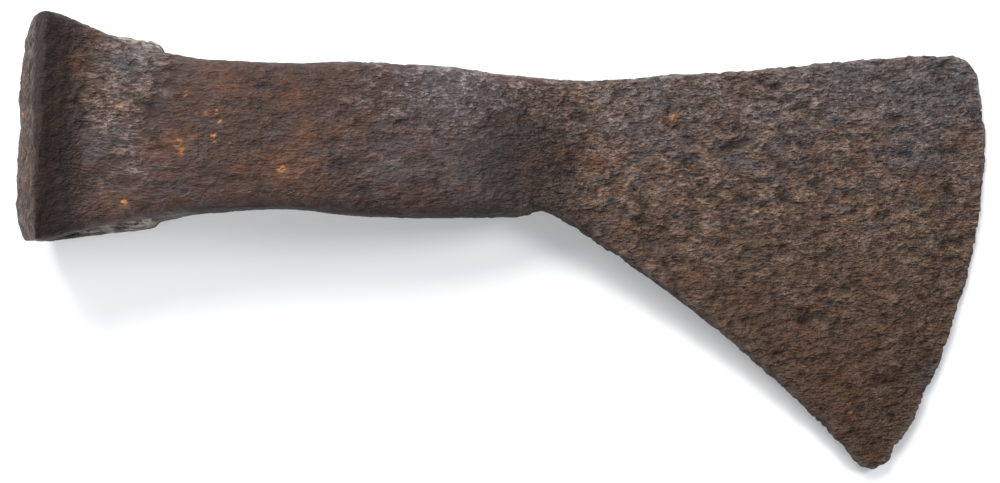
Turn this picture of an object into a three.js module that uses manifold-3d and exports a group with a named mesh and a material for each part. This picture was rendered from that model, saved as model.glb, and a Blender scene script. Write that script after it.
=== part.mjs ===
// Forged iron axe head, lying on its side: a flared poll with a raised lip, an eye for the haft that is
// closed by a strap wrapped round the far side, a stout neck, and a broad blade with a long beard.
// Millimetres. Along the head, x runs from the butt to the cutting edge, y from the beard up to the heel
// side, and z from the cheek below (far) to the cheek above (near), until it is laid down at the end.

import * as THREE from "three";
import { mergeVertices } from "three/addons/utils/BufferGeometryUtils.js";
import Module from "manifold-3d";

const wasm = await Module();
wasm.setup();

// ---- Driving dimensions ----

// Poll: a domed butt that swells to a lip all round, leaning a little towards the heel side.
const POLL = { lipX: 5.4, domeRadius: 27, lean: 0.05, leanFades: 24, endRound: 2.0, skin: 0.15, steps: 8 };

// Lines of the head at named places: the outline above and below the axis, and how far each cheek
// stands off the middle plane. Below the shoulder the outline is the beard's arc instead of a foot.
const LINES = [
  { at: "lip", x: 5.4, top: 23.4, foot: -20.7, near: 17.5, far: 17.5 },
  { at: "flank", x: 8.8, top: 22.5, foot: -20.2, near: 14.4, far: 14.8 },
  { at: "hollow", x: 14.5, top: 20.5, foot: -18.5, near: 12.3, far: 12.9 },
  { at: "eye end", x: 25.5, top: 16.7, foot: -16.1, near: 13.5, far: 13.3 },
  { at: "neck root", x: 37, top: 14.5, foot: -14.7, near: 14.0, far: 13.0 },
  { at: "waist", x: 52, top: 13.9, foot: -14.4, near: 13.3, far: 12.2 },
  { at: "belly", x: 66, top: 14.3, foot: -15.7, near: 12.3, far: 11.2 },
  { at: "slope", x: 84, top: 13.5, foot: -16.2, near: 10.4, far: 9.4 },
  { at: "shoulder", x: 98, top: 12.1, foot: -16.1, near: 7.4, far: 7.0 },
  { at: "blade root", x: 110, top: 11.4, foot: -16.1, near: 5.3, far: 5.2 },
  { at: "blade", x: 135, top: 12.9, near: 4.0, far: 4.0 },
  { at: "thinning", x: 160, top: 15.1, near: 3.0, far: 2.9 },
  { at: "heel", x: 186, top: 17.0, near: 1.5, far: 1.3 },
  { at: "edge", x: 194, top: 12.5, near: 0.6, far: 0.6 },
];

// Beard: the concave arc from the shoulder down to the toe, with a small nick where the neck was cut in.
const BEARD = { start: [106.3, -16.1], end: [166.6, -64.6], hollow: 2.8 };
const NICK = { x: 102.9, halfWidth: 3.6, depth: 1.7 };

// Cutting edge: a bow between a rounded heel and a rounded toe, a little fuller towards the heel.
const HEEL = { from: 186, drop: 5.4, reach: 6 };
const TOE = { reach: 7.3, drop: 2.3, lift: 0.5 };
const EDGE = { bow: 7.6, power: 2.5, fuller: 0.12 };

// The underside of the neck splays a little towards the far cheek, and fades out along the neck.
const SPLAY = { depth: 1.3, from: 20, to: 50 };

// Rounding of the long arrises, and how much each cheek is crowned across its width.
const ARRIS = { neck: 3.0, poll: 1.6, blade: 1.6 };
const CROWN = { neck: 0.07, blade: 0.2 };

// Eye: an oblong hole through the head from the heel side to the beard side.
const EYE = { from: 7.8, to: 25.6, halfWidth: 8.5, corner: 5.5, reach: 32 };

// Strap: the wall of the eye on the far side, deeper than the head and lapped onto the neck.
const STRAP = {
  from: 8,
  to: 27.8,
  top: [22.2, 19.0],
  foot: [-20.4, -18.1],
  slant: 0.9,
  inner: -7.6,
  lap: 1.1,
  arris: 1.4,
  tongue: 5,
  corner: 2,
  steps: 11,
  cornerSteps: 3,
};

// Wear where the head touches the surface it lies on: two small flats, this deep.
const REST_WEAR = 0.2;

// Fineness of the faceting.
const ACROSS = 12;
const CORNER_STEPS = 3;
const STATION_STEP = 2.6;
const EDGE_STEPS = 7;

const IRON = new THREE.MeshStandardMaterial({ color: 0x584840, roughness: 0.75, metalness: 0.35 });

// ---- Interpolation along the head ----

const { lerp, clamp, smoothstep } = THREE.MathUtils;

// Slope at row i, limited so that the curve through the rows never overshoots them.
function slopeAt(rows, key, i) {
  if (i === 0 || i === rows.length - 1) return 0;
  const before = (rows[i][key] - rows[i - 1][key]) / (rows[i].x - rows[i - 1].x);
  const after = (rows[i + 1][key] - rows[i][key]) / (rows[i + 1].x - rows[i].x);
  return before * after <= 0 ? 0 : (2 * before * after) / (before + after);
}

// Value of one of the lines at distance x: a cubic through the named places that give it.
function line(key, x) {
  const rows = LINES.filter((row) => key in row);
  const at = clamp(x, rows[0].x, rows.at(-1).x);
  const next = rows.findIndex((row, i) => i > 0 && at <= row.x);
  const [a, b] = [rows[next - 1], rows[next]];
  const span = b.x - a.x;
  const u = (at - a.x) / span;
  const ease = u * u * (3 - 2 * u);
  const leaving = span * slopeAt(rows, key, next - 1) * u * (1 - u) ** 2;
  const arriving = span * slopeAt(rows, key, next) * u * u * (1 - u);
  return lerp(a[key], b[key], ease) + leaving - arriving;
}

// ---- Cross-sections ----

// A section is a closed loop of points: round the lower arris, across the near cheek and round the
// upper arris, then the same way back along the far cheek. Each point has t, from -1 below to 1 above,
// and z. The two straight gaps in the loop are the rims.
function sectionLoop({ near, far, width, arris, crown }) {
  const round = Math.min(arris, 0.48 * (near + far), width / 4);
  const half = width / 2;
  const flat = half - round;
  const loop = [];
  [near, -far].forEach((height) => {
    const side = height === near ? 1 : -1;
    const edge = height * (1 - crown * (flat / half) ** 2);
    const arc = (i, end) => {
      const angle = (i / CORNER_STEPS) * (Math.PI / 2);
      const y = side * end * (flat + round * Math.sin(angle));
      loop.push({ t: y / half, z: edge - side * round * (1 - Math.cos(angle)) });
    };
    for (let i = CORNER_STEPS; i > 0; i--) arc(i, -1);
    for (let i = 0; i <= ACROSS; i++) {
      const y = side * lerp(-flat, flat, i / ACROSS);
      loop.push({ t: y / half, z: height * (1 - crown * (y / half) ** 2) });
    }
    for (let i = 1; i <= CORNER_STEPS; i++) arc(i, 1);
  });
  return loop;
}

// Places a section between its lower and upper outline points. It bows forwards between them, more
// towards the upper one where it is fuller there, and the splay moves its far side down.
function placeSection({ lower, upper, bow = 0, power = 2, fuller = 0, splay = 0, ...shape }) {
  const width = lower.distanceTo(upper);
  const forward = new THREE.Vector2(upper.y - lower.y, lower.x - upper.x).normalize();
  return sectionLoop({ ...shape, width }).map(({ t, z }) => {
    const point = lower.clone().lerp(upper, (t + 1) / 2);
    point.addScaledVector(forward, bow * (1 - Math.abs(t) ** power) * (1 + fuller * t));
    const depth = (shape.near - z) / (shape.near + shape.far);
    const spread = splay * depth * (1 - t) * 0.5;
    return new THREE.Vector3(point.x, point.y - spread, z);
  });
}

// Joins sections end to end into one closed solid, each end closed by a fan about its middle.
function loft(sections) {
  const size = sections[0].length;
  const points = sections.flat();
  const triangles = [];
  for (let s = 0; s < sections.length - 1; s++) {
    for (let i = 0; i < size; i++) {
      const a = s * size + i;
      const b = s * size + ((i + 1) % size);
      triangles.push([a, a + size, b], [b, a + size, b + size]);
    }
  }
  [0, sections.length - 1].forEach((s) => {
    const middle = sections[s].reduce((sum, point) => sum.add(point), new THREE.Vector3());
    points.push(middle.divideScalar(size));
    for (let i = 0; i < size; i++) {
      const pair = [s * size + i, s * size + ((i + 1) % size)];
      if (s > 0) pair.reverse();
      triangles.push([pair[0], pair[1], points.length - 1]);
    }
  });
  const geometry = new THREE.BufferGeometry();
  const numbers = points.flatMap((point) => point.toArray());
  geometry.setAttribute("position", new THREE.Float32BufferAttribute(numbers, 3));
  geometry.setIndex(triangles.flat());
  return geometry;
}

// ---- Body ----

// The domed butt: thin stations that swell along an arc until they reach the lip.
function pollSections() {
  const lipAngle = Math.acos(1 - POLL.lipX / POLL.domeRadius);
  const lipHeight = LINES[0].near;
  const domeHeight = POLL.domeRadius * Math.sin(lipAngle);
  const sections = [];
  for (let i = 0; i < POLL.steps; i++) {
    const angle = lerp(Math.acos(1 - POLL.skin / POLL.domeRadius), lipAngle, i / POLL.steps);
    const x = POLL.domeRadius * (1 - Math.cos(angle));
    const height = (lipHeight * POLL.domeRadius * Math.sin(angle)) / domeHeight;
    sections.push(straightSection(x, height, height));
  }
  return sections;
}

// A station square to the head, as on the poll and the neck.
function straightSection(x, near, far) {
  const nick = Math.abs(x - NICK.x) < NICK.halfWidth;
  const nickLift = nick ? NICK.depth * Math.cos(((x - NICK.x) / NICK.halfWidth) * (Math.PI / 2)) ** 2 : 0;
  const top = line("top", x);
  const foot = line("foot", x) + nickLift;
  const lean = POLL.lean * (1 - smoothstep(x, POLL.lipX, POLL.leanFades));
  const rounding = POLL.endRound * Math.max(0, 1 - x / POLL.lipX);
  const neckness = smoothstep(x, POLL.lipX, EYE.to);
  const splayed = smoothstep(x, POLL.lipX, SPLAY.from) * (1 - smoothstep(x, SPLAY.from, SPLAY.to));
  return placeSection({
    lower: new THREE.Vector2(x + rounding + lean * foot, foot),
    upper: new THREE.Vector2(x + rounding + lean * top, top),
    bow: -rounding,
    power: 5,
    splay: SPLAY.depth * splayed,
    near,
    far,
    arris: lerp(ARRIS.poll, ARRIS.neck, neckness),
    crown: CROWN.neck * neckness,
  });
}

// Point on the beard: 0 at the shoulder, 1 at the toe.
function beardPoint(fraction) {
  const start = new THREE.Vector2(...BEARD.start);
  const end = new THREE.Vector2(...BEARD.end);
  const inward = new THREE.Vector2(start.y - end.y, end.x - start.x).normalize();
  const point = start.clone().lerp(end, fraction);
  return point.addScaledVector(inward, 4 * BEARD.hollow * fraction * (1 - fraction));
}

// Stations of the blade fan out from the shoulder: they run up the heel side and down the beard, and
// bow forwards more and more until the last one is the cutting edge.
function bladeSections() {
  const sections = [];
  const rootX = BEARD.start[0];
  const steps = Math.round((HEEL.from - rootX) / STATION_STEP);
  for (let i = 0; i <= steps; i++) {
    const fraction = i / steps;
    const x = lerp(rootX, HEEL.from, fraction);
    sections.push(bladeSection(x, new THREE.Vector2(x, line("top", x)), beardPoint(fraction), fraction));
  }
  for (let i = 1; i <= EDGE_STEPS; i++) {
    const angle = (i / EDGE_STEPS) * (Math.PI / 2);
    const x = lerp(HEEL.from, LINES[LINES.length - 1].x, Math.sin(angle));
    const heel = new THREE.Vector2(
      HEEL.from + HEEL.reach * Math.sin(angle),
      line("top", HEEL.from) - HEEL.drop * (1 - Math.cos(angle)),
    );
    const toe = new THREE.Vector2(
      BEARD.end[0] + (TOE.reach / 2) * (1 - Math.cos(2 * angle)),
      BEARD.end[1] - TOE.drop * Math.sin(2 * angle) + TOE.lift * (1 - Math.cos(angle)),
    );
    sections.push(bladeSection(x, heel, toe, 1));
  }
  return sections;
}

function bladeSection(x, upper, lower, fraction) {
  return placeSection({
    lower,
    upper,
    bow: EDGE.bow * smoothstep(fraction, 0, 1),
    power: EDGE.power,
    fuller: EDGE.fuller,
    near: line("near", x),
    far: line("far", x),
    arris: lerp(ARRIS.neck, ARRIS.blade, smoothstep(fraction, 0, 0.3)),
    crown: lerp(CROWN.neck, CROWN.blade, smoothstep(fraction, 0, 0.4)),
  });
}

function body() {
  const sections = pollSections();
  const neckEnd = BEARD.start[0];
  const steps = Math.round((neckEnd - POLL.lipX) / STATION_STEP);
  for (let i = 0; i < steps; i++) {
    const x = lerp(POLL.lipX, neckEnd, i / steps);
    sections.push(straightSection(x, line("near", x), line("far", x)));
  }
  return loft([...sections, ...bladeSections()]);
}

// ---- Strap and eye ----

// The strap's rims are straight up to its rounded corners, so that the mouth of the eye has a flat
// landing on the far wall. Its end slants, shorter on the beard side, and bows forwards as a tongue.
function strap() {
  const sections = [];
  const straightEnd = STRAP.to - STRAP.corner;
  for (let i = 0; i <= STRAP.steps; i++) {
    sections.push(strapSection(lerp(STRAP.from, straightEnd, i / STRAP.steps), 0));
  }
  for (let i = 1; i <= STRAP.cornerSteps; i++) {
    const angle = (i / STRAP.cornerSteps) * (Math.PI / 2);
    const cut = STRAP.corner * (1 - Math.cos(angle));
    sections.push(strapSection(straightEnd + STRAP.corner * Math.sin(angle), cut));
  }
  return loft(sections);
}

function strapSection(x, cut) {
  const fraction = (x - STRAP.from) / (STRAP.to - STRAP.from);
  return placeSection({
    lower: new THREE.Vector2(x - STRAP.slant * fraction, lerp(...STRAP.foot, fraction) + cut),
    upper: new THREE.Vector2(x, lerp(...STRAP.top, fraction) - cut),
    bow: STRAP.tongue * smoothstep(fraction, 0.3, 1),
    near: STRAP.inner,
    far: line("far", x) + STRAP.lap * smoothstep(fraction, 0, 0.4) - cut / 4,
    arris: STRAP.arris,
    crown: CROWN.neck,
  });
}

// The eye's oblong outline lies in the x-z plane and is pushed through the head along y.
function eyeHole() {
  const { from, to, halfWidth: w, corner: r, reach } = EYE;
  const outline = new THREE.Shape();
  outline.moveTo(from + r, -w);
  outline.lineTo(to - r, -w);
  outline.absarc(to - r, -w + r, r, -Math.PI / 2, 0);
  outline.lineTo(to, w - r);
  outline.absarc(to - r, w - r, r, 0, Math.PI / 2);
  outline.lineTo(from + r, w);
  outline.absarc(from + r, w - r, r, Math.PI / 2, Math.PI);
  outline.lineTo(from, -w + r);
  outline.absarc(from + r, -w + r, r, Math.PI, 1.5 * Math.PI);
  const settings = { depth: 2 * reach, bevelEnabled: false, curveSegments: CORNER_STEPS + 2 };
  const hole = new THREE.ExtrudeGeometry(outline, settings);
  hole.translate(0, 0, -reach);
  hole.rotateX(Math.PI / 2);
  return hole;
}

// ---- Joining ----

function toSolid(geometry) {
  const bare = geometry.clone();
  bare.deleteAttribute("normal");
  bare.deleteAttribute("uv");
  const merged = mergeVertices(bare, 1e-4);
  return new wasm.Manifold(
    new wasm.Mesh({
      numProp: 3,
      vertProperties: new Float32Array(merged.attributes.position.array),
      triVerts: new Uint32Array(merged.index.array),
    }),
  );
}

function toGeometry(solid) {
  const mesh = solid.getMesh();
  const geometry = new THREE.BufferGeometry();
  geometry.setAttribute("position", new THREE.BufferAttribute(new Float32Array(mesh.vertProperties), 3));
  geometry.setIndex(new THREE.BufferAttribute(new Uint32Array(mesh.triVerts), 1));
  geometry.computeVertexNormals();
  return geometry;
}

// ---- Laying the head down ----

// Lowest corner of the mesh, once turned, among those whose distance along the head passes a test.
function lowest(geometry, angle, test) {
  const points = geometry.attributes.position;
  let best = { x: 0, z: Infinity };
  for (let i = 0; i < points.count; i++) {
    const x = points.getX(i);
    const z = points.getZ(i) * Math.cos(angle) - x * Math.sin(angle);
    if (test(x) && z < best.z) best = { x, z };
  }
  return best;
}

// The head rests on the far lip of the poll and on its cutting edge. The angle is found by turning it
// until both are at one height.
function restingAngle(geometry) {
  let angle = 0;
  for (let turn = 0; turn < 8; turn++) {
    const butt = lowest(geometry, angle, (x) => x < EYE.to);
    const blade = lowest(geometry, angle, (x) => x >= EYE.to);
    angle += Math.atan2(blade.z - butt.z, blade.x - butt.x);
  }
  return angle;
}

// What lies below the surface once the head has worn its two flats: a slab, in the head's own frame.
function wornAway(geometry, angle) {
  const box = new THREE.Box3().setFromBufferAttribute(geometry.attributes.position);
  const size = box.getSize(new THREE.Vector3());
  const slab = new THREE.BoxGeometry(4 * size.x, 4 * size.y, size.z);
  slab.translate(0, 0, lowest(geometry, angle, () => true).z + REST_WEAR - size.z / 2);
  slab.rotateY(-angle);
  return slab;
}

// ---- Assembly ----

const forged = toSolid(body()).add(toSolid(strap())).subtract(toSolid(eyeHole()));
const forgedShape = toGeometry(forged);
const angle = restingAngle(forgedShape);
const worn = forged.subtract(toSolid(wornAway(forgedShape, angle)));
const axeHead = new THREE.Mesh(toGeometry(worn), IRON);
axeHead.name = "axe_head";
axeHead.rotation.y = angle;

// The origin is under the middle of the head, on the surface that it lies on.
const laid = new THREE.Box3().setFromObject(axeHead, true);
const middle = laid.getCenter(new THREE.Vector3());
axeHead.position.set(-middle.x, -middle.y, -laid.min.z);

const object = new THREE.Group();
object.add(axeHead);
export default object;
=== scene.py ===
"""A corroded, forged iron axe head lying on its side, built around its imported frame.

Run as a script. Lengths are in metres, as in the frame: +X from the poll to the cutting edge, +Y from the
beard to the heel side, and +Z up from the surface that the head lies on.
"""

import math

import bmesh
import bpy
from bpy.props import FloatProperty, FloatVectorProperty, IntProperty, PointerProperty
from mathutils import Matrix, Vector, noise


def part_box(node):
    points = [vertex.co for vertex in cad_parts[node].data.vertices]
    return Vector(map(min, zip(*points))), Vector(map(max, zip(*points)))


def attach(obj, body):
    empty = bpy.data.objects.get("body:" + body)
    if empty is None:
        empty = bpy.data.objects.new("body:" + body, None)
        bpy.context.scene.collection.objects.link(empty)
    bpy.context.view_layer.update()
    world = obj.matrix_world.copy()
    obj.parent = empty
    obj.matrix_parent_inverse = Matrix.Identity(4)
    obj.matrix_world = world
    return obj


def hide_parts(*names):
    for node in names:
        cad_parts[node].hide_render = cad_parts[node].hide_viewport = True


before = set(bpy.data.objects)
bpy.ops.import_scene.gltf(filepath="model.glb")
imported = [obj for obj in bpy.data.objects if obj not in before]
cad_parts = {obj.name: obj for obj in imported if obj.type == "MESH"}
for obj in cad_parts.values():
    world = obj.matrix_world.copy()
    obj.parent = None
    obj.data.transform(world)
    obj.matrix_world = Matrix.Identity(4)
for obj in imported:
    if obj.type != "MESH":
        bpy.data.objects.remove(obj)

bl_info = {
    "name": "Corroded iron axe head",
    "version": (1, 0, 0),
    "blender": (4, 5, 0),
    "location": "3D View > Sidebar > Axe Head",
    "description": "Builds a forged, rusted iron axe head and a plain stage for it",
    "category": "Add Mesh",
}

NODE = "axe_head"
PIECE = "iron_axe_head"
MM = 0.001
MERGE_DISTANCE = 0.002 * MM
LOW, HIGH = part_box(NODE)
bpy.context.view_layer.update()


# ---- Settings ----


class AxeShapeSettings(bpy.types.PropertyGroup):
    """Relief of the corroded surface."""

    fineness: FloatProperty(
        name="Fineness", description="Side of the voxels that the surface is rebuilt from",
        default=0.55 * MM, min=0.2 * MM, unit="LENGTH",
    )
    evening: IntProperty(
        name="Evening", description="Smoothing passes that wear the arrises down", default=5, min=0,
    )
    forging: FloatProperty(
        name="Forging", description="Height of the broad unevenness left by the hammer",
        default=0.35 * MM, unit="LENGTH",
    )
    blade_relief: FloatProperty(
        name="Blade relief", description="Height of the scaly corrosion on the blade",
        default=0.6 * MM, unit="LENGTH",
    )
    neck_relief: FloatProperty(
        name="Neck relief", description="Height of the corrosion on the neck and poll",
        default=0.16 * MM, unit="LENGTH",
    )
    pit_depth: FloatProperty(
        name="Pit depth", description="Depth of the deepest single pits", default=0.55 * MM, unit="LENGTH",
    )
    nick_depth: FloatProperty(
        name="Nick depth", description="Depth of the nicks along the cutting edge",
        default=0.6 * MM, unit="LENGTH",
    )
    edge_growth: FloatProperty(
        name="Edge growth", description="How far the thin cutting edge is drawn back out after the evening",
        default=0.9 * MM, unit="LENGTH",
    )
    lip_waver: FloatProperty(
        name="Lip waver", description="How far the lip of the poll wavers along the head",
        default=0.5 * MM, unit="LENGTH",
    )


class AxeColourSettings(bpy.types.PropertyGroup):
    """Colours of the corroded iron, some also used for painted highlights and painted shade."""

    crust: FloatVectorProperty(
        name="Crust", description="Dark brown crust that covers most of the iron", subtype="COLOR",
        default=(0.039, 0.0168, 0.0108), min=0, max=1,
    )
    # Partly a painted highlight: this colour goes on the crests of the grain.
    pale: FloatVectorProperty(
        name="Pale crust", description="Paler, tan crust on the raised grain", subtype="COLOR",
        default=(0.345, 0.224, 0.164), min=0, max=1,
    )
    # Also the colour of the painted shade: partly crust and partly painted shade in the crevices and pits,
    # painted shade in the shaded places.
    deep: FloatVectorProperty(
        name="Pits", description="Almost black crust in the pits, crevices and dark hollows",
        subtype="COLOR", default=(0.009, 0.005, 0.004), min=0, max=1,
    )
    rust: FloatVectorProperty(
        name="Red rust", description="Thin red-brown rust in broad patches", subtype="COLOR",
        default=(0.084, 0.032, 0.017), min=0, max=1,
    )
    patch: FloatVectorProperty(
        name="Rust patches", description="Brighter orange-brown rust in single patches", subtype="COLOR",
        default=(0.118, 0.047, 0.022), min=0, max=1,
    )
    bloom: FloatVectorProperty(
        name="Rust bloom", description="Bright orange rust in small spots", subtype="COLOR",
        default=(0.50, 0.19, 0.04), min=0, max=1,
    )
    # Also painted light: it brightens the strap's rims, which lie in shade, and the arrises, as well as
    # showing pale iron.
    bare: FloatVectorProperty(
        name="Bare iron", description="Pale grey iron on the worn arrises and the rims of the eye",
        subtype="COLOR", default=(0.30, 0.265, 0.235), min=0, max=1,
    )
    worn: FloatVectorProperty(
        name="Worn crust", description="Lighter crust that lies under the raised grain of the blade",
        subtype="COLOR", default=(0.092, 0.056, 0.042), min=0, max=1,
    )
    ochre: FloatVectorProperty(
        name="Ochre crust", description="Yellower crust low on the blade and in small stains",
        subtype="COLOR", default=(0.112, 0.060, 0.031), min=0, max=1,
    )
    # Painted highlight: a lilac grey laid on the crests where the iron is shinier, in the wrinkles and on
    # the heel side.
    painted_highlight: FloatVectorProperty(
        name="Sheen", description="Lilac grey of the iron where handling has left a gloss",
        subtype="COLOR", default=(0.235, 0.196, 0.190), min=0, max=1,
    )
    # Partly a painted highlight: the bluish grey laid in patches where highlights fall on the heel side and
    # in the wrinkles.
    steel: FloatVectorProperty(
        name="Blue-grey oxide", description="Bluish oxide in patches and in small stains",
        subtype="COLOR", default=(0.078, 0.080, 0.092), min=0, max=1,
    )


class AxeStageSettings(bpy.types.PropertyGroup):
    """Camera, floor and lights."""

    camera_height: FloatProperty(
        name="Camera height", description="Height of the camera above the surface",
        default=0.5, unit="LENGTH",
    )
    view_width: FloatProperty(
        name="View width", description="Width seen at the middle of the head", default=0.2, unit="LENGTH",
    )
    floor_size: FloatProperty(
        name="Floor size", description="Side of the floor", default=5.0, unit="LENGTH",
    )
    key_power: FloatProperty(
        name="Key light", description="Power of the large soft light above the heel side",
        default=4.6, unit="POWER",
    )
    top_power: FloatProperty(
        name="Top light", description="Power of the small light above the blade", default=2.3, unit="POWER",
    )
    fill_power: FloatProperty(
        name="Fill light", description="Power of the weaker soft light off the butt, on the beard side",
        default=1.3, unit="POWER",
    )
    sky_strength: FloatProperty(
        name="Sky", description="Strength of the even light from all round", default=0.25,
    )


# ---- Small helpers ----


def smoothstep(low, high, value):
    """0 up to low, 1 from high on, and a smooth step between them."""
    share = min(max((value - low) / (high - low), 0.0), 1.0)
    return share * share * (3 - 2 * share)


def from_butt(place):
    """The head's own coordinates, in millimetres: from the butt, from the lowest outline, and up."""
    return (place - LOW) / MM


# ---- Relief ----

SEED = Vector((31.7, 12.3, 7.9))
# Without this seed, noise_vector gives other values in each run.
NOISE_SEED = 7
GRAIN_STRETCH = Vector((0.42, 1.0, 1.0))

# Masks that the surface keeps at every corner, for the material. Some of them say where shade or a
# highlight is painted into the colour.
MASKS = ("hollow", "worn", "coarse", "rust", "steel", "bloom", "ochre", "soot", "gloss", "bare")

# Places along the head, in millimetres from the butt.
LIP, VALLEY_END = 5.6, 11.0
EYE_FROM, EYE_TO = 8.0, 28.0
SLOT_FROM, SLOT_TO = 11.0, 27.0
WRINKLES_FROM, WRINKLES_TO = 19.0, 25.0
FLANK_FROM, FLANK_TO = 36.0, 168.0
BELLY_FROM, BELLY_TO = 64.0, 92.0
UNDERSIDE_FROM, UNDERSIDE_TO = 66.0, 108.0
BLADE_FROM, BLADE_TO = 84.0, 116.0

# Heights over the surface that the head lies on, in millimetres.
SLOT_LOW, SLOT_HIGH = 12.0, 23.0

# The dip before the blade, in millimetres along the head and across it.
DIP = Vector((101.0, 61.0))

# The strap's two rims, in millimetres across the head: at the butt end of the eye, and at its far end.
RIM_HEEL_SIDE, RIM_BEARD_SIDE = (88.9, 85.9), (46.3, 48.6)
RIM_REACH = 2.6

# Patches of rust, of bluish oxide with a painted highlight in part, and of shinier iron with a painted
# highlight: along the head and across it, in millimetres, then the radius and the strength of each.
RUST_PATCHES = (
    (11.5, 79.5, 4.0, 1.0), (10.5, 71.5, 3.4, 0.9), (8.5, 68.5, 2.6, 0.7), (7.5, 58.5, 3.4, 0.8),
    (32.5, 65.5, 3.4, 0.8), (29.0, 63.0, 3.0, 0.5), (21.5, 54.5, 3.6, 0.4), (42.5, 76.5, 3.6, 0.5),
    (53.0, 60.5, 4.2, 1.0), (54.5, 74.0, 3.8, 0.7), (57.5, 67.0, 2.6, 0.8), (46.5, 61.0, 3.0, 0.5),
    (80.0, 54.0, 3.0, 0.5), (101.0, 62.0, 3.4, 0.6), (108.5, 62.5, 3.0, 0.8), (114.5, 61.5, 2.2, 0.9),
    (129.5, 70.5, 2.0, 0.9), (137.0, 73.0, 1.8, 0.7), (120.0, 47.5, 3.2, 0.6), (127.0, 45.0, 4.0, 0.6),
    (134.0, 38.5, 3.6, 0.6), (144.5, 34.5, 4.6, 0.7), (154.0, 26.0, 5.0, 0.6), (163.5, 19.0, 5.0, 0.9),
    (165.5, 11.5, 4.0, 1.0), (160.5, 14.0, 3.0, 0.8), (170.0, 37.0, 3.6, 0.6), (169.0, 24.0, 4.0, 0.6),
    (172.0, 4.0, 4.0, 0.6), (188.5, 66.0, 2.4, 0.7), (160.0, 49.0, 4.0, 0.3), (181.0, 57.0, 4.0, 0.4),
)
# Bluish patches: partly oxide, partly a painted bluish highlight on the heel side of the neck and blade and
# in the wrinkles.
OXIDE_AND_PAINTED_HIGHLIGHT_PATCHES = (
    (24.0, 80.0, 6.0, 0.7), (19.0, 66.0, 5.0, 0.5), (85.0, 75.0, 9.0, 0.6), (90.0, 60.0, 10.0, 0.5),
    (75.0, 62.0, 7.0, 0.4), (128.0, 72.0, 12.0, 0.5), (128.0, 44.0, 3.0, 0.6), (165.0, 78.0, 12.0, 0.7),
    (182.0, 76.0, 12.0, 1.0), (180.0, 66.0, 9.0, 0.7), (150.0, 68.0, 12.0, 0.4), (181.5, 18.5, 3.0, 0.6),
)
# Where the iron is shinier and a highlight is painted.
SHINE_AND_PAINTED_HIGHLIGHT_PATCHES = (
    (24.5, 79.0, 8.0, 1.0), (21.5, 70.5, 5.5, 0.9), (23.5, 62.0, 6.0, 0.8), (22.0, 54.0, 5.0, 0.25),
    (69.0, 62.0, 7.0, 0.4),
)

# Spots of fresh rust: along the head and across it, and the radius of each.
BLOOMS = (
    (2.7, 70.2, 0.7), (33.0, 64.8, 0.7), (33.9, 63.2, 0.6), (22.6, 53.4, 0.6), (34.4, 74.2, 0.4),
    (36.9, 70.8, 0.4), (38.6, 70.4, 0.4), (40.6, 70.9, 0.4), (41.0, 69.0, 0.4), (39.8, 66.2, 0.5),
    (40.0, 64.8, 0.4), (21.6, 71.8, 0.4), (52.8, 60.0, 0.9), (165.8, 11.4, 0.4), (129.6, 70.6, 0.6),
)


def zone(value, low, high, fade):
    """1 between low and high, fading out over some way on both sides."""
    return smoothstep(low - fade, low, value) * (1 - smoothstep(high, high + fade, value))


def wave(at, wavelength, seed=SEED):
    """Smooth noise, about -1 to 1, with swells of about a wavelength, in millimetres."""
    return noise.noise(at / wavelength + seed)


def patches(at, places):
    """The strongest patch at a place, from 0 to 1, with ragged edges."""
    ragged = 0.45 * wave(at, 2.0) + 0.25 * wave(at, 0.9, -SEED)
    most = 0.0
    for x, y, radius, strength in places:
        distance = math.hypot((at.x - x) * 0.85, at.y - y) / radius
        if distance < 1.6:
            most = max(most, strength * (1 - smoothstep(0.25, 1.25, distance + ragged)))
    return most


def bloom(at):
    """1 in the middle of a small spot of fresh rust."""
    most = 0.0
    for x, y, radius in BLOOMS:
        most = max(most, 1 - smoothstep(0.3, 1.2, math.hypot(at.x - x, at.y - y) / radius))
    return most


def rim_distances(at):
    """How far a place lies inside the strap's rims on the heel side and on the beard side."""
    share = (at.x - EYE_FROM) / (EYE_TO - EYE_FROM)
    heel_side = RIM_HEEL_SIDE[0] + (RIM_HEEL_SIDE[1] - RIM_HEEL_SIDE[0]) * share - at.y
    beard_side = at.y - RIM_BEARD_SIDE[0] - (RIM_BEARD_SIDE[1] - RIM_BEARD_SIDE[0]) * share
    return heel_side, beard_side


def soot(at, outward):
    """Where shade is painted almost black into the crust: the valley behind the lip, the underside of the
    neck, the dip before the blade, the slots under the strap's rims, the flank that faces the beard side,
    and more of the blade towards the toe."""
    valley = zone(at.x, LIP + 0.6, VALLEY_END + 1.2 * wave(at, 3.0), 7.0)
    valley *= smoothstep(LIP - 0.4, LIP + 1.0, at.x)
    underside = zone(at.x, UNDERSIDE_FROM, UNDERSIDE_TO, 14.0) * (1 - smoothstep(50.5, 60.0, at.y))
    dip = 1 - smoothstep(4.0, 16.0, math.hypot(at.x - DIP.x, (at.y - DIP.y) * 0.8))
    toe = smoothstep(BLADE_FROM, BLADE_TO, at.x) * (1 - smoothstep(0.0, 70.0, at.y))
    slot = zone(at.x, SLOT_FROM, SLOT_TO, 3.0) * zone(at.z, SLOT_LOW, SLOT_HIGH, 2.5)
    slot *= 1 - smoothstep(4.0, 6.0, min(rim_distances(at)))
    flank = smoothstep(0.55, 0.9, -outward.y) * zone(at.x, FLANK_FROM, FLANK_TO, 5.0)
    return max(valley, 0.75 * underside, 0.8 * dip, 0.45 * toe, slot, flank)


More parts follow.
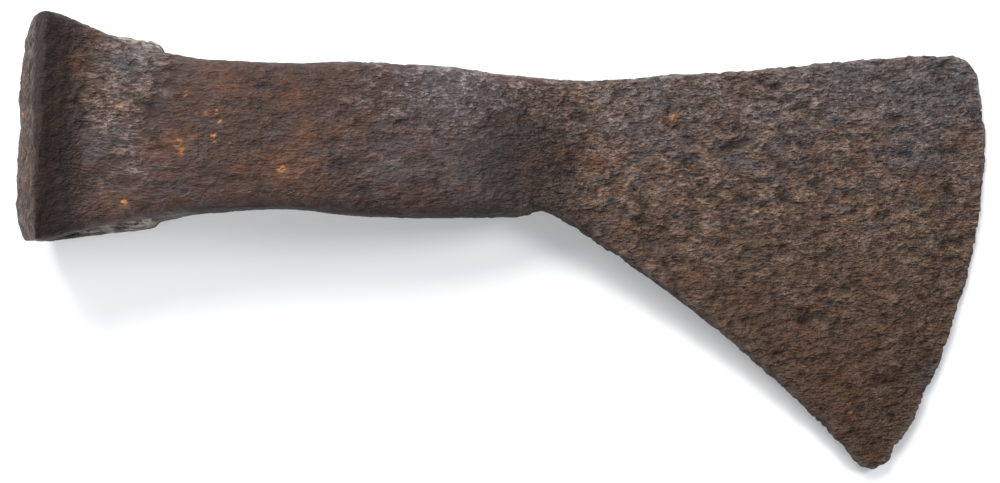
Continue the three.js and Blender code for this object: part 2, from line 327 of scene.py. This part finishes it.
def gloss(at):
    """Where the iron is shinier and a highlight is painted on it: the wrinkles behind the valley, and the
    heel side from the middle of the neck on."""
    ragged = 0.7 + 0.9 * wave(at, 3.4, -SEED)
    wrinkles = patches(at, SHINE_AND_PAINTED_HIGHLIGHT_PATCHES)
    # Painted highlight on the heel side, which faces the key light.
    heel_side = smoothstep(60.0, 82.0, at.x) * smoothstep(60.0, 79.0, at.y)
    return min(max(max(0.88 * wrinkles, 1.25 * heel_side) * ragged, 0.0), 1.0)


def bareness_and_painted_light(at, outward):
    """Where pale iron shows and light is painted: on top of the strap's rims, on both sides of the eye,
    which lie in shade.
    """
    along = zone(at.x, EYE_FROM + 4.0, EYE_TO + 2.0, 3.0)
    near_rim = 1 - smoothstep(RIM_REACH, RIM_REACH + 1.5, min(rim_distances(at)))
    return along * near_rim * (1 - smoothstep(10.0, 13.0, at.z)) * smoothstep(0.0, 0.4, outward.z)


def coarseness(at, bare):
    """How coarse the corrosion is: 1 on the blade, less on the poll, and least along the neck."""
    blade = smoothstep(BLADE_FROM, BLADE_TO, at.x)
    wander = 5.0 * wave(at, 6.0) + 2.0 * wave(at, 2.0, -SEED)
    wrinkled = zone(at.x + wander, WRINKLES_FROM, WRINKLES_TO, 10.0)
    wrinkled *= 0.35 + 0.65 * smoothstep(54.0, 70.0, at.y)
    belly = zone(at.x, BELLY_FROM, BELLY_TO, 10.0)
    butt = 1 - smoothstep(LIP, VALLEY_END, at.x)
    return max(blade, 0.7 * wrinkled, 0.4 * belly, 0.5 * butt, 0.22) * (1 - 0.7 * bare)


def stretched(at, wavelength):
    """A place in a pattern that is drawn out along the head, as a forging's grain is."""
    return Vector((at.x * GRAIN_STRETCH.x, at.y, at.z)) / wavelength + SEED


def hammering(at):
    """Broad, shallow unevenness, about -1 to 1."""
    return 0.6 * wave(at, 24.0) + 0.4 * wave(at, 9.0, -SEED)


def scales(at):
    """Scaly crust: swells that are split by narrow crevices. Returns its height, about -1 to 1, and how
    deep in a crevice the place is, 0 to 1."""
    sway = noise.noise_vector(at / 3.1 + SEED) * 0.55
    place = stretched(at, 2.1) + sway
    swell = noise.fractal(place, 0.8, 2.2, 3)
    split = abs(noise.noise(place * 0.83 - SEED))
    fine_split = abs(noise.noise(place * 1.7 + SEED * 2))
    crevice = max(1 - smoothstep(0.0, 0.13, split), 0.6 * (1 - smoothstep(0.0, 0.16, fine_split)))
    ripple = noise.noise(stretched(at, 0.8) + sway)
    return 0.55 * swell + 0.30 * ripple - 0.55 * crevice, crevice


def pitting(at, size, threshold):
    """0 to 1, and 1 at the bottom of an irregular pit."""
    sway = noise.noise_vector(at / size) * 0.5
    return smoothstep(threshold, threshold + 0.3, noise.noise(stretched(at, size) * 1.1 - SEED + sway))


def relief(at, bare, shape):
    """Height to add along the normal, in metres, how hollow the place is, and how coarse its rust is."""
    coarse = coarseness(at, bare)
    crust, crevice = scales(at)
    height = shape.forging * hammering(at)
    height += (shape.neck_relief + (shape.blade_relief - shape.neck_relief) * coarse) * crust
    pits = max(pitting(at, 3.4, 0.36), 0.6 * pitting(at, 1.7, 0.32))
    height -= shape.pit_depth * pits * coarse
    # The material darkens hollow places: partly dark crust, partly painted shade.
    hollow = min(max(0.75 * pits + 0.55 * crevice - 0.3 * crust, 0.0), 1.0)
    return height, hollow, coarse


def edge_line(corners):
    """The furthest reach of the head at each millimetre across it, in millimetres."""
    reach = {}
    for corner in corners:
        at = from_butt(corner.co)
        row = round(at.y)
        reach[row] = max(reach.get(row, 0.0), at.x)
    return reach


def edge_nearness(at, reach):
    """1 on the cutting edge, fading to 0 a few millimetres behind it."""
    if at.x < BLADE_TO:
        return 0.0
    return 1 - smoothstep(0.0, 5.0, reach[round(at.y)] - at.x)


def edge_wear(at, outward, shape):
    """How far a place on the cutting edge moves outwards, in metres: out to where the rebuilding left
    it short, and back again in the nicks."""
    sweep = noise.noise(Vector((at.y / 6.5, 3.3, 0.0)))
    tooth = noise.noise(Vector((at.y / 2.3, 9.1, 0.0)))
    depth = max(0.0, 0.6 * sweep + 0.6 * tooth)
    heel, toe = smoothstep(54.0, 66.0, at.y), 1 - smoothstep(8.0, 20.0, at.y)
    growth = shape.edge_growth * (0.6 + 0.55 * heel + 0.5 * toe)
    return (growth - shape.nick_depth * depth) * max(outward.x, -0.8 * toe * outward.y, 0.0)


def lip_wear(at, shape):
    """How far the lip of the poll and the rim of the butt waver along the head, in metres."""
    nearness = 1 - smoothstep(LIP - 1.5, LIP + 4.0, at.x)
    waver = noise.noise(Vector((at.y / 6.0, at.z / 9.0, 5.1)))
    waver += 0.5 * noise.noise(Vector((at.y / 2.2, 1.7, 8.0)))
    return nearness * shape.lip_waver * waver


def bulge(vert, shape):
    """How far a corner stands out from the corners round it, as a share of the voxels' side."""
    around = sum((edge.other_vert(vert).co for edge in vert.link_edges), Vector())
    around /= len(vert.link_edges)
    return (vert.co - around).dot(vert.normal) / shape.fineness


def corrode(bm, shape):
    """Moves every corner by the relief, and keeps masks of it for the material."""
    noise.seed_set(NOISE_SEED)
    layers = {name: bm.verts.layers.float.new(name) for name in MASKS}
    bm.normal_update()
    reach = edge_line(bm.verts)
    moves = []
    for vert in bm.verts:
        at = from_butt(vert.co)
        bare = bareness_and_painted_light(at, vert.normal)
        height, hollow, coarse = relief(at, bare, shape)
        marks = {
            "hollow": hollow,
            # Convex corners: partly wear, partly where an edge highlight is painted.
            "worn": smoothstep(0.03, 0.16, bulge(vert, shape)) * smoothstep(LIP + 2.0, VALLEY_END, at.x),
            "coarse": coarse,
            "rust": patches(at, RUST_PATCHES),
            "steel": patches(at, OXIDE_AND_PAINTED_HIGHLIGHT_PATCHES),
            "bloom": bloom(at),
            "ochre": smoothstep(BLADE_FROM, BLADE_TO, at.x) * (1 - smoothstep(22.0, 66.0, at.y)),
            # Painted shade: almost black in the places that lie in shade.
            "soot": soot(at, vert.normal),
            "gloss": gloss(at),
            "bare": bare,
        }
        for name, value in marks.items():
            vert[layers[name]] = value
        near_edge = edge_nearness(at, reach)
        height *= 1 - 0.6 * near_edge
        height += near_edge * edge_wear(at, vert.normal, shape)
        moves.append(vert.normal * height + Vector((lip_wear(at, shape), 0.0, 0.0)))
    for vert, move in zip(bm.verts, moves):
        vert.co += move
        vert.co.z = max(vert.co.z, 0.0)


# ---- Materials ----


# A Mix node has sockets of every kind, most with the same names. These are the places of its factor, its
# two colours and its mixed colour.
MIX_INPUTS, MIX_RESULT = (0, 6, 7), 2

# How much the crust and the paper mirror, and how high a step of 1 in the grain's pattern stands.
CRUST_SPECULAR, PAPER_SPECULAR = 0.26, 0.1
BUMP_DISTANCE = 1.0 * MM
PAPER_COLOUR = (0.86, 0.86, 0.86, 1.0)


class NodeTree:
    """Short calls for adding shader nodes to one tree and linking them."""

    def __init__(self, tree):
        self.tree = tree

    def add(self, kind, inputs=None, **settings):
        node = self.tree.nodes.new(kind)
        for name, value in settings.items():
            setattr(node, name, value)
        for name, value in (inputs or {}).items():
            self.feed(node.inputs[name], value)
        return node

    def feed(self, socket, value):
        if isinstance(value, bpy.types.NodeSocket):
            self.tree.links.new(value, socket)
        else:
            socket.default_value = value

    def math(self, operation, a, b):
        return self.add("ShaderNodeMath", {0: a, 1: b}, operation=operation).outputs[0]

    def times(self, a, b):
        return self.math("MULTIPLY", a, b)

    def ramp(self, value, low, high, low_value=0.0, high_value=1.0):
        """A smooth step of value between low and high."""
        node = self.add(
            "ShaderNodeMapRange",
            {"Value": value, "From Min": low, "From Max": high, "To Min": low_value, "To Max": high_value},
            interpolation_type="SMOOTHSTEP",
        )
        return node.outputs["Result"]

    def paint(self, under, share, colour):
        """Lays a colour over what is under it, by a share from 0 to 1."""
        node = self.add("ShaderNodeMix", data_type="RGBA")
        for place, value in zip(MIX_INPUTS, (share, under, (*colour, 1.0))):
            self.feed(node.inputs[place], value)
        return node.outputs[MIX_RESULT]


def grain_group():
    """Noise of one size, drawn out along the head. It takes places in metres and a size in millimetres.
    The group is built once."""
    name = "forged_grain"
    if name in bpy.data.node_groups:
        return bpy.data.node_groups[name]
    tree = bpy.data.node_groups.new(name, "ShaderNodeTree")
    for label, kind, default in (
        ("Place", "NodeSocketVector", None),
        ("Size", "NodeSocketFloat", 1.0),
        ("Stretch", "NodeSocketFloat", 0.5),
        ("Detail", "NodeSocketFloat", 3.0),
        ("Roughness", "NodeSocketFloat", 0.55),
        ("Shift", "NodeSocketFloat", 0.0),
    ):
        socket = tree.interface.new_socket(label, in_out="INPUT", socket_type=kind)
        if default is not None:
            socket.default_value = default
    tree.interface.new_socket("Value", in_out="OUTPUT", socket_type="NodeSocketFloat")
    nodes = NodeTree(tree)
    given = nodes.add("NodeGroupInput").outputs
    scale = nodes.math("DIVIDE", 1 / MM, given["Size"])
    along = nodes.times(scale, given["Stretch"])
    factors = nodes.add("ShaderNodeCombineXYZ", {"X": along, "Y": scale, "Z": scale}).outputs[0]
    placed = nodes.add(
        "ShaderNodeVectorMath", {0: given["Place"], 1: factors}, operation="MULTIPLY"
    ).outputs[0]
    shifted = nodes.add("ShaderNodeVectorMath", {0: placed, 1: given["Shift"]}, operation="ADD").outputs[0]
    pattern = nodes.add(
        "ShaderNodeTexNoise",
        {"Vector": shifted, "Scale": 1.0, "Detail": given["Detail"], "Roughness": given["Roughness"]},
    )
    nodes.add("NodeGroupOutput", {"Value": pattern.outputs["Fac"]})
    return tree


def new_material(name):
    """A material with only its shader and output, as (material, nodes, shader)."""
    material = bpy.data.materials.new(name)
    material.use_nodes = True
    material.node_tree.nodes.clear()
    nodes = NodeTree(material.node_tree)
    shader = nodes.add("ShaderNodeBsdfPrincipled")
    nodes.add("ShaderNodeOutputMaterial", {"Surface": shader.outputs[0]})
    return material, nodes, shader


def grain(nodes, place, size, stretch=0.5, detail=3.0, roughness=0.55, shift=0.0):
    """The pattern of one forged_grain node, with its size in millimetres."""
    node = nodes.add("ShaderNodeGroup", node_tree=grain_group())
    values = {"Place": place, "Size": size, "Stretch": stretch, "Detail": detail}
    for label, value in {**values, "Roughness": roughness, "Shift": shift}.items():
        nodes.feed(node.inputs[label], value)
    return node.outputs["Value"]


class CorrodedIron:
    """The patterns and masks of the corroded iron, and what is mixed from them."""

    def __init__(self, nodes, colours):
        self.nodes = nodes
        self.colours = colours
        place = nodes.add("ShaderNodeTexCoord").outputs["Object"]
        self.mask = {
            name: nodes.add("ShaderNodeAttribute", attribute_name=name).outputs["Fac"] for name in MASKS
        }
        self.fine = grain(nodes, place, 0.5, stretch=0.4, detail=2.0, roughness=0.6)
        self.ripple = grain(nodes, place, 1.9, detail=4.0, roughness=0.7, shift=4.0)
        self.mottle = grain(nodes, place, 5.0, stretch=0.7, detail=4.0, roughness=0.65, shift=9.0)
        self.drift = grain(nodes, place, 26.0, stretch=1.0, detail=2.0, shift=17.0)
        self.flakes = grain(nodes, place, 1.4, stretch=0.55, detail=2.0, roughness=0.6, shift=23.0)
        self.layers = grain(nodes, place, 0.6, stretch=0.12, detail=2.0, shift=40.0)
        self.stains = grain(nodes, place, 3.2, stretch=0.7, roughness=0.6, shift=61.0)
        self.coarse = nodes.ramp(self.mask["coarse"], 0.2, 1.0)
        self.crests = nodes.math("ADD", nodes.times(self.ripple, 0.9), nodes.times(self.fine, 0.9))
        # Share of the painted highlight: on the crests where the iron is shinier.
        self.painted_highlight = nodes.times(self.mask["gloss"], nodes.ramp(self.crests, 0.88, 1.10, 0.06, 0.85))

    def by_coarseness(self, value, on_smooth, on_coarse):
        """A value scaled by one share on the smooth neck and by another on the coarse blade."""
        return self.nodes.times(value, self.nodes.ramp(self.coarse, 0.0, 1.0, on_smooth, on_coarse))

    def crust(self):
        """Dark crust, lighter on the blade, with a paler raised grain that is partly a painted highlight on
        the crests, and an ochre cast low down.
        """
        nodes, colours = self.nodes, self.colours
        dark = (*colours.crust, 1.0)
        colour = nodes.paint(dark, nodes.ramp(self.coarse, 0.3, 1.0), colours.worn)
        # Paler crests: partly paler crust, partly a painted highlight.
        raised = self.by_coarseness(nodes.ramp(self.crests, 0.82, 1.12), 0.07, 1.0)
        raised = nodes.times(raised, nodes.ramp(self.mottle, 0.38, 0.58, 0.35, 1.0))
        colour = nodes.paint(colour, raised, colours.pale)
        return nodes.paint(colour, nodes.times(self.mask["ochre"], 0.6), colours.ochre)

    def stained(self, colour):
        """Red, grey and brown stains, bluish patches that are partly oxide and partly a painted highlight,
        and single patches of rust, over a colour.
        """
        nodes, colours = self.nodes, self.colours
        reds = nodes.ramp(self.mottle, 0.50, 0.66)
        reds = nodes.times(reds, nodes.ramp(self.drift, 0.42, 0.62, 0.25, 0.6))
        colour = nodes.paint(colour, reds, colours.rust)
        greys = self.by_coarseness(nodes.ramp(self.stains, 0.50, 0.66, 0.0, 0.45), 0.3, 1.0)
        greys = nodes.times(greys, nodes.math("SUBTRACT", 1.0, self.mask["ochre"]))
        colour = nodes.paint(colour, greys, colours.steel)
        browns = self.by_coarseness(nodes.ramp(self.stains, 0.34, 0.46, 0.5, 0.0), 0.3, 1.0)
        colour = nodes.paint(colour, browns, colours.ochre)
        # Bluish patches: partly oxide, partly painted highlight.
        colour = nodes.paint(colour, nodes.times(self.mask["steel"], 0.6), colours.steel)
        rusty = nodes.times(self.mask["rust"], nodes.ramp(self.crests, 0.74, 1.04, 0.35, 0.9))
        return nodes.paint(colour, rusty, colours.patch)

    def darkened(self, colour):
        """Almost black over a colour: partly dark crust and partly painted shade in the crevices and pits,
        and painted shade where the head lies in shade.
        """
        nodes, deep = self.nodes, self.colours.deep
        # Crevices and pits: partly dark crust, partly painted shade.
        crevices = self.by_coarseness(nodes.ramp(self.crests, 0.70, 0.84, 1.0, 0.0), 0.25, 0.75)
        dark = nodes.math("MAXIMUM", crevices, nodes.times(self.mask["hollow"], 0.75))
        colour = nodes.paint(colour, dark, deep)
        # Painted shade in the valley, the slots, the underside, the dip, the flank and towards the toe.
        return nodes.paint(colour, nodes.times(self.mask["soot"], 0.8), deep)

    def colour(self):
        """The crust with its stains and a painted highlight, the crevices and places of painted shade, then
        pale iron and painted light on the rims and arrises, and spots of fresh rust.
        """
        nodes, colours = self.nodes, self.colours
        colour = self.stained(self.crust())
        # Painted highlight on the crests of the shinier iron.
        colour = nodes.paint(colour, self.painted_highlight, colours.painted_highlight)
        colour = self.darkened(colour)
        # Pale iron on the arrises, partly wear and partly a painted edge highlight, and painted light over
        # partly pale iron on the strap's rims.
        arrises = nodes.times(nodes.times(self.mask["worn"], 0.3), nodes.ramp(self.fine, 0.38, 0.6))
        rims = nodes.times(self.mask["bare"], nodes.ramp(self.layers, 0.42, 0.58, 0.1, 0.8))
        colour = nodes.paint(colour, nodes.math("MAXIMUM", arrises, rims), colours.bare)
        spots = nodes.times(self.mask["bloom"], nodes.ramp(self.fine, 0.42, 0.6))
        return nodes.paint(colour, spots, colours.bloom)

    def roughness(self):
        """Rough crust, smoother where the iron is shinier and a highlight is painted, and on the crests,
        and dull where shade is painted.
        """
        nodes = self.nodes
        polish = nodes.ramp(self.mask["gloss"], 0.0, 1.0, 0.46, 0.28)
        rough = nodes.math("ADD", polish, nodes.ramp(self.ripple, 0.40, 0.62, 0.12, -0.04))
        return nodes.math("MAXIMUM", rough, nodes.times(self.mask["soot"], 0.7))

    def metal(self):
        """How metallic the iron is: half the share of the painted highlight."""
        return self.nodes.times(self.painted_highlight, 0.5)

    def height(self):
        """Ripples, thin flakes with steps at their edges, and fine grain, lower on the smooth neck."""
        nodes = self.nodes
        steps = nodes.times(nodes.ramp(self.flakes, 0.45, 0.55), 0.35)
        swells = nodes.math("ADD", nodes.times(self.ripple, 3.2), steps)
        grains = nodes.math("ADD", swells, nodes.times(self.fine, 1.1))
        return self.by_coarseness(grains, 0.3, 1.0)


def iron_material(colours):
    """Brown corroded iron: dark crust, paler raised grain, black crevices, and rust in patches, with
    painted highlights and painted shade.
    """
    material, nodes, shader = new_material("rusted_iron")
    iron = CorrodedIron(nodes, colours)
    bump = nodes.add("ShaderNodeBump", {"Distance": BUMP_DISTANCE, "Height": iron.height()})
    bump.inputs["Strength"].default_value = 1.0
    nodes.feed(shader.inputs["Base Color"], iron.colour())
    nodes.feed(shader.inputs["Roughness"], iron.roughness())
    nodes.feed(shader.inputs["Metallic"], iron.metal())
    nodes.feed(shader.inputs["Normal"], bump.outputs[0])
    shader.inputs["Specular IOR Level"].default_value = CRUST_SPECULAR
    return material


def paper_material():
    """Plain white paper for the floor."""
    material, _, shader = new_material("white_paper")
    shader.inputs["Base Color"].default_value = PAPER_COLOUR
    shader.inputs["Roughness"].default_value = 0.9
    shader.inputs["Specular IOR Level"].default_value = PAPER_SPECULAR
    return material


# ---- Operators ----


# The stage, in metres. Each light has its place, its side and the setting that holds its power.
LIGHTS = {
    "key_light": (Vector((-0.12, 0.40, 0.32)), 0.40, "key_power"),
    "top_light": (Vector((0.42, 0.18, 0.52)), 0.22, "top_power"),
    "fill_light": (Vector((-0.30, -0.19, 0.22)), 0.24, "fill_power"),
}
SKY_COLOUR = (0.80, 0.91, 1.0, 1.0)

# The camera looks straight down a little beside the middle of the head, in x and y. The view's width is
# measured at this height.
AIM_X, AIM_Y, AIM_HEIGHT = -1.9 * MM, 0.75 * MM, 10.0 * MM
SENSOR_WIDTH = 36.0


def add_object(name, data):
    """A new object in the scene, at the origin."""
    item = bpy.data.objects.new(name, data)
    bpy.context.scene.collection.objects.link(item)
    return item


def apply_modifiers(item):
    """Puts what the modifiers make into the mesh itself."""
    with bpy.context.temp_override(object=item, active_object=item, selected_objects=[item]):
        for modifier in list(item.modifiers):
            bpy.ops.object.modifier_apply(modifier=modifier.name)


def rebuilt_head(shape):
    """A copy of the frame's head, merged, rebuilt from small voxels and worn smooth, as a new object."""
    bm = bmesh.new()
    bm.from_mesh(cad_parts[NODE].data)
    bmesh.ops.remove_doubles(bm, verts=bm.verts, dist=MERGE_DISTANCE)
    mesh = bpy.data.meshes.new(PIECE)
    bm.to_mesh(mesh)
    bm.free()
    head = add_object(PIECE, mesh)
    rebuild = head.modifiers.new("rebuild", "REMESH")
    rebuild.mode = "VOXEL"
    rebuild.voxel_size = shape.fineness
    wear = head.modifiers.new("wear", "SMOOTH")
    wear.factor = 0.5
    wear.iterations = shape.evening
    apply_modifiers(head)
    return head


class AXE_OT_head(bpy.types.Operator):
    """Build the corroded iron head over its frame"""

    bl_idname = "axe.head"
    bl_label = "Iron head"

    def execute(self, context):
        head = rebuilt_head(context.scene.axe_shape)
        bm = bmesh.new()
        bm.from_mesh(head.data)
        if not bm.faces:
            raise RuntimeError("the head has no faces after it was rebuilt")
        corrode(bm, context.scene.axe_shape)
        bm.to_mesh(head.data)
        bm.free()
        head.data.materials.append(iron_material(context.scene.axe_colours))
        head.data.polygons.foreach_set("use_smooth", [True] * len(head.data.polygons))
        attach(head, "root")
        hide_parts(NODE)
        return {"FINISHED"}


class AXE_OT_stage(bpy.types.Operator):
    """Set up the camera, the plain pale floor and the soft lights"""

    bl_idname = "axe.stage"
    bl_label = "Stage"

    def execute(self, context):
        stage = context.scene.axe_stage
        self.add_camera(context.scene, stage)
        self.add_floor(stage)
        self.add_lights(context.scene, stage)
        return {"FINISHED"}

    def add_camera(self, scene, stage):
        camera_data = bpy.data.cameras.new("camera")
        camera_data.sensor_width = SENSOR_WIDTH
        camera_data.lens = SENSOR_WIDTH * (stage.camera_height - AIM_HEIGHT) / stage.view_width
        camera = add_object("camera", camera_data)
        middle = (LOW + HIGH) / 2
        camera.location = (middle.x + AIM_X, middle.y + AIM_Y, stage.camera_height)
        scene.camera = camera

    def add_floor(self, stage):
        bm = bmesh.new()
        bmesh.ops.create_grid(bm, x_segments=1, y_segments=1, size=stage.floor_size / 2)
        mesh = bpy.data.meshes.new("floor")
        bm.to_mesh(mesh)
        bm.free()
        mesh.materials.append(paper_material())
        add_object("floor", mesh)

    def add_lights(self, scene, stage):
        for name, (place, side, power) in LIGHTS.items():
            self.add_area(name, place, side, getattr(stage, power))
        world = bpy.data.worlds.new("sky")
        world.use_nodes = True
        background = world.node_tree.nodes["Background"]
        background.inputs["Color"].default_value = SKY_COLOUR
        background.inputs["Strength"].default_value = stage.sky_strength
        scene.world = world
        scene.view_settings.view_transform = "Standard"

    def add_area(self, name, place, side, power):
        data = bpy.data.lights.new(name, "AREA")
        data.shape = "SQUARE"
        data.size = side
        data.energy = power
        lamp = add_object(name, data)
        lamp.location = place
        lamp.rotation_euler = (-place).to_track_quat("-Z", "Y").to_euler()
        lamp.visible_camera = False


class AXE_PT_panel(bpy.types.Panel):
    """Builds the head and the stage"""

    bl_idname = "AXE_PT_panel"
    bl_label = "Axe Head"
    bl_space_type = "VIEW_3D"
    bl_region_type = "UI"
    bl_category = "Axe Head"

    def draw(self, context):
        layout = self.layout
        for group in (context.scene.axe_shape, context.scene.axe_colours, context.scene.axe_stage):
            box = layout.box()
            for name in group.__annotations__:
                box.prop(group, name)
        for operator in (AXE_OT_stage, AXE_OT_head):
            layout.operator(operator.bl_idname)


CLASSES = (
    AxeShapeSettings,
    AxeColourSettings,
    AxeStageSettings,
    AXE_OT_stage,
    AXE_OT_head,
    AXE_PT_panel,
)


def register():
    for item in CLASSES:
        bpy.utils.register_class(item)
    bpy.types.Scene.axe_shape = PointerProperty(type=AxeShapeSettings)
    bpy.types.Scene.axe_colours = PointerProperty(type=AxeColourSettings)
    bpy.types.Scene.axe_stage = PointerProperty(type=AxeStageSettings)


def unregister():
    del bpy.types.Scene.axe_stage
    del bpy.types.Scene.axe_colours
    del bpy.types.Scene.axe_shape
    for item in reversed(CLASSES):
        bpy.utils.unregister_class(item)


def main():
    register()
    bpy.ops.axe.stage()
    bpy.ops.axe.head()


if __name__ == "__main__":
    main()
